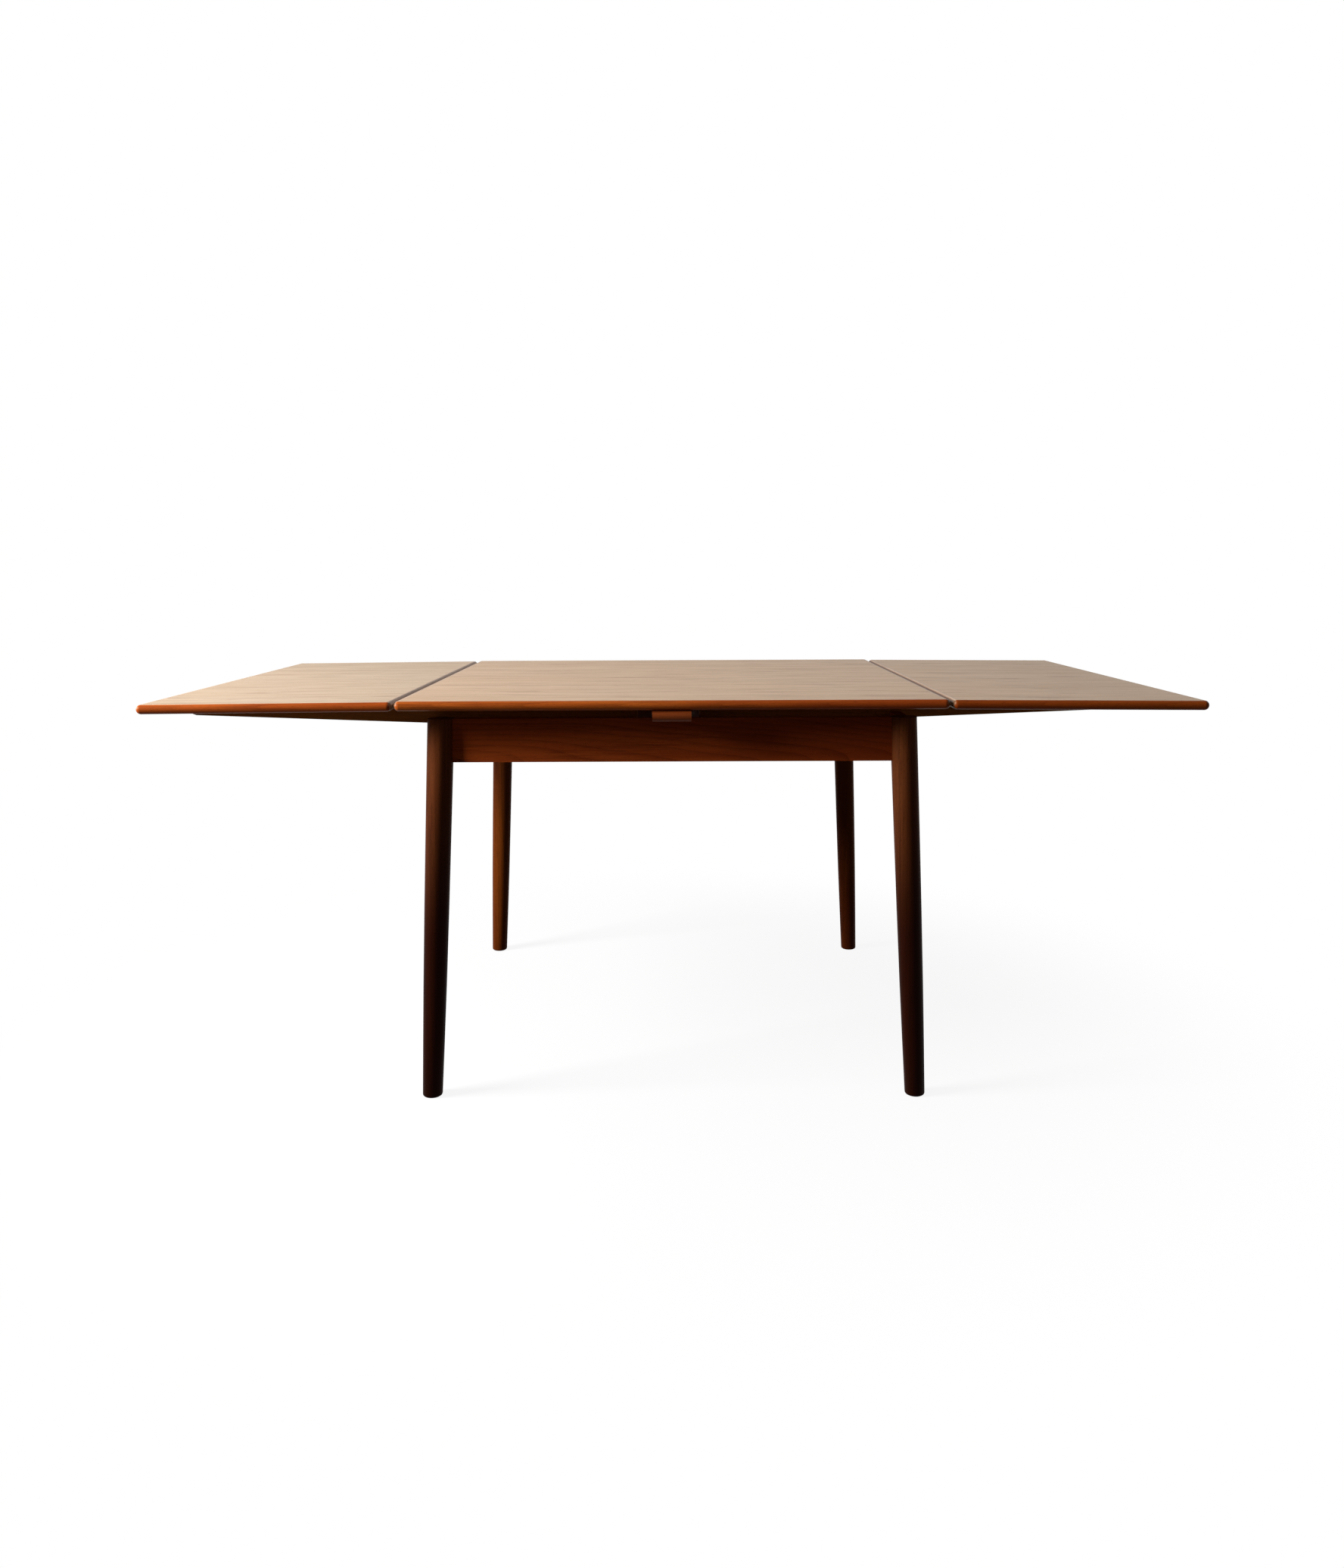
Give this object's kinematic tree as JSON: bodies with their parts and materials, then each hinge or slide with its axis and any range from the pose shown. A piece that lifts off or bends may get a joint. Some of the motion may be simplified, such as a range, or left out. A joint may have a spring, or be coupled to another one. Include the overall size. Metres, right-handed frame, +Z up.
{
  "type": "draw leaf dining table",
  "caption": "Square dining table with a loose top on two bearers, a draw-out leaf on tapered runners at each end, plain aprons and splayed round tapered legs.",
  "frame": {"origin": "on the floor under the middle of the top", "axes": "+Z up, X the way the leaves slide, -Y the front; modelled with both leaves drawn out"},
  "size_m": [1.8318, 0.95, 0.725],
  "materials": {
    "teak_veneer": "oiled, straight grain",
    "teak_edge": "oiled solid lipping",
    "teak_frame": "dark oiled",
    "teak_bearer": "oiled",
    "beech": "planed, unfinished",
    "steel": "plain zinc",
    "felt": "wool felt"
  },
  "bodies": {
    "frame": {"apron_dowels": "beech", "back_apron": "teak_frame", "back_bearer": "teak_bearer", "back_bearer_nosing": "teak_edge", "back_left_corner_block": "beech", "back_left_leg": "teak_frame", "back_right_corner_block": "beech", "back_right_leg": "teak_frame", "bearer_screws": "steel", "centre_rail": "beech", "corner_bolts": "steel", "felt_pads": "felt", "front_apron": "teak_frame", "front_bearer": "teak_bearer", "front_bearer_nosing": "teak_edge", "front_left_corner_block": "beech", "front_left_leg": "teak_frame", "front_right_corner_block": "beech", "front_right_leg": "teak_frame", "left_apron": "teak_frame", "right_apron": "teak_frame"},
    "top": {"top_back_lipping": "teak_edge", "top_front_lipping": "teak_edge", "top_left_lipping": "teak_edge", "top_panel": "teak_veneer", "top_pegs": "beech", "top_right_lipping": "teak_edge"},
    "left_leaf": {"left_leaf_back_lipping": "teak_edge", "left_leaf_front_lipping": "teak_edge", "left_leaf_inner_lipping": "teak_edge", "left_leaf_inner_runner": "beech", "left_leaf_outer_lipping": "teak_edge", "left_leaf_outer_runner": "beech", "left_leaf_panel": "teak_veneer", "left_runner_screws": "steel", "left_runner_stops": "beech"},
    "right_leaf": {"right_leaf_back_lipping": "teak_edge", "right_leaf_front_lipping": "teak_edge", "right_leaf_inner_lipping": "teak_edge", "right_leaf_inner_runner": "beech", "right_leaf_outer_lipping": "teak_edge", "right_leaf_outer_runner": "beech", "right_leaf_panel": "teak_veneer", "right_runner_screws": "steel", "right_runner_stops": "beech"}
  },
  "joints": [
    {"name": "top_lift", "type": "slide", "parent": "frame", "child": "top", "axis": [0, 0, 1], "range_m": [0, 0.619]},
    {"name": "left_leaf_slide", "type": "slide", "parent": "frame", "child": "left_leaf", "axis": [0.9993, 0, -0.0369], "range_m": [0, 0.4423]},
    {"name": "right_leaf_slide", "type": "slide", "parent": "frame", "child": "right_leaf", "axis": [-0.9993, 0, -0.0369], "range_m": [0, 0.4423]}
  ],
  "couplings": [
    {"joint": "left_leaf_slide", "follows": "top_lift", "ratio": 0.71429},
    {"joint": "right_leaf_slide", "follows": "top_lift", "ratio": 0.71429}
  ]
}
